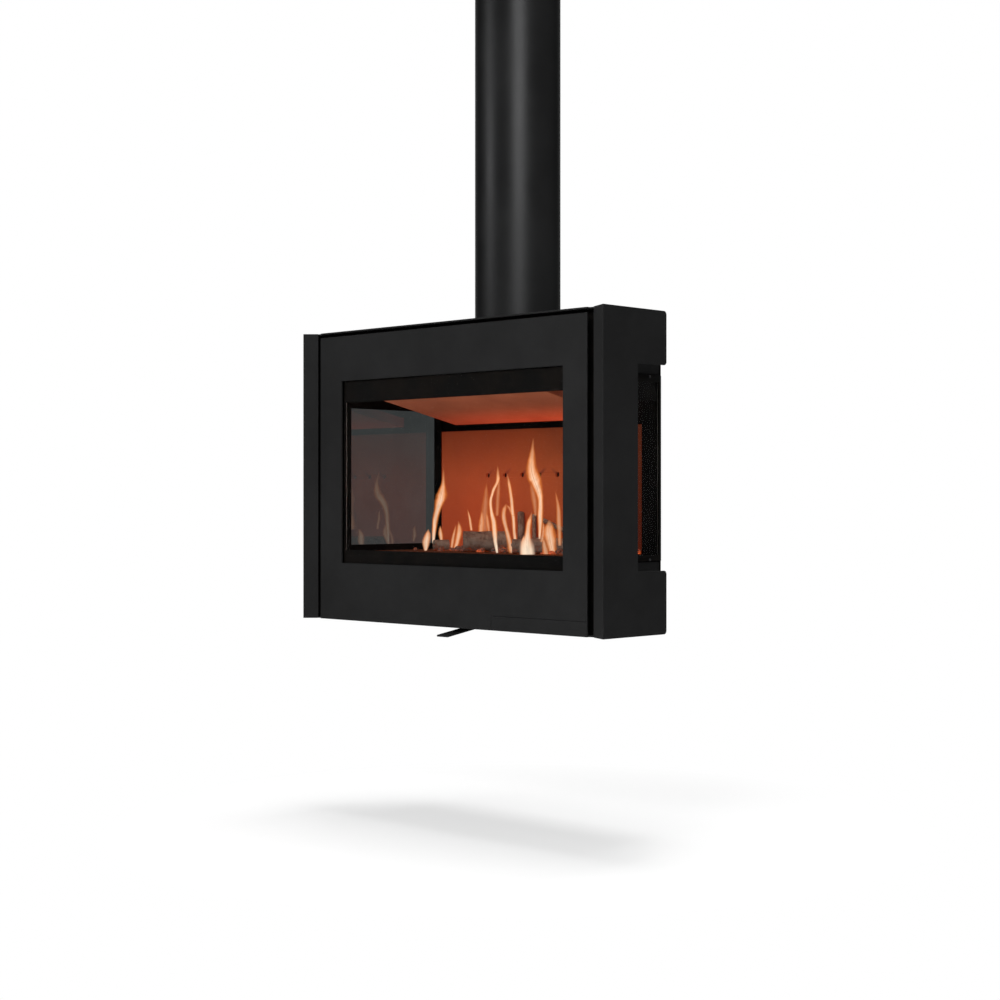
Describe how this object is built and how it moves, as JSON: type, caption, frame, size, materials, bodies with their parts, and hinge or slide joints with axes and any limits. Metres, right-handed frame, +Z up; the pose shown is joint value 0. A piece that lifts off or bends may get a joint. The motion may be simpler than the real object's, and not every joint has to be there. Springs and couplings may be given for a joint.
{
  "type": "hanging fireplace",
  "caption": "Wide wood-burning fireplace hung from the ceiling by its flue pipe, with glass on three sides, a hinged front door, folded side wings and an air lever.",
  "frame": {"origin": "centre of the ceiling anchor pattern, on the ceiling plane and on the flue axis", "axes": "+Z up along the flue, +X to the right of someone facing the door, -Y towards that person"},
  "size_m": [0.96, 0.4123, 1.6107],
  "materials": {
    "black_steel": "matt high-temperature black",
    "pipe_black": "matt high-temperature black",
    "chamber_black": "sooty matt black",
    "galvanised": "plain zinc",
    "stainless": "brushed",
    "dark_screw": "black oxide",
    "cast_collar": "cast",
    "side_glass": "clear ceramic glass",
    "door_glass": "clear ceramic glass with a dark printed border",
    "rope_gasket": "woven glass fibre rope",
    "vermiculite": "pressed vermiculite in fire light",
    "hearth": "pressed vermiculite with ash",
    "charred_wood": "charred bark",
    "magnet": "nickelled",
    "bronze": "sintered bronze"
  },
  "bodies": {
    "stove": {"ceiling_plate": "galvanised", "ceiling_rosette": "pipe_black", "rosette_screws": "dark_screw", "outer_pipe": "pipe_black", "pipe_flange": "pipe_black", "pipe_screws": "dark_screw", "flue_liner": "stainless", "flue_collar": "cast_collar", "flange_bolts": "galvanised", "left_wing": "black_steel", "right_wing": "black_steel", "top_casing": "black_steel", "bottom_casing": "black_steel", "front_frame": "chamber_black", "rear_shield": "black_steel", "rear_casing": "black_steel", "casing_screws": "dark_screw", "firebox": "chamber_black", "left_side_glass": "side_glass", "right_side_glass": "side_glass", "left_glass_gasket": "rope_gasket", "right_glass_gasket": "rope_gasket", "left_bezel": "chamber_black", "right_bezel": "chamber_black", "bezel_screws": "dark_screw", "rear_lining": "vermiculite", "hearth_floor": "hearth", "baffle": "vermiculite", "baffle_rests": "chamber_black", "corner_posts": "chamber_black", "logs": "charred_wood", "hinge_brackets": "chamber_black", "hinge_pins": "stainless", "hinge_screws": "dark_screw", "catch_magnet": "magnet", "air_box": "chamber_black", "spindle_bush": "bronze"},
    "door": {"door_plate": "black_steel", "door_frame": "chamber_black", "door_glass": "door_glass", "door_gasket": "rope_gasket", "door_frame_screws": "dark_screw", "catch_strike": "stainless", "pull_bracket": "chamber_black"},
    "pull": {"door_pull": "black_steel", "rod_clips": "stainless"},
    "air_control": {"air_lever": "black_steel", "valve_spindle": "stainless", "valve_plate": "galvanised", "lever_screw": "galvanised", "spindle_clip": "stainless"}
  },
  "joints": [
    {"name": "door_swing", "type": "hinge", "parent": "stove", "child": "door", "pos_m": [-0.43, -0.212, -1.2], "axis": [0, 0, -1], "range_deg": [0, 100]},
    {"name": "pull_slide", "type": "slide", "parent": "door", "child": "pull", "axis": [0, -1, 0], "range_m": [0, 0.008]},
    {"name": "air_lever_turn", "type": "hinge", "parent": "stove", "child": "air_control", "pos_m": [0, -0.07, -1.54], "axis": [0, 0, 1], "range_deg": [-30, 30]}
  ]
}
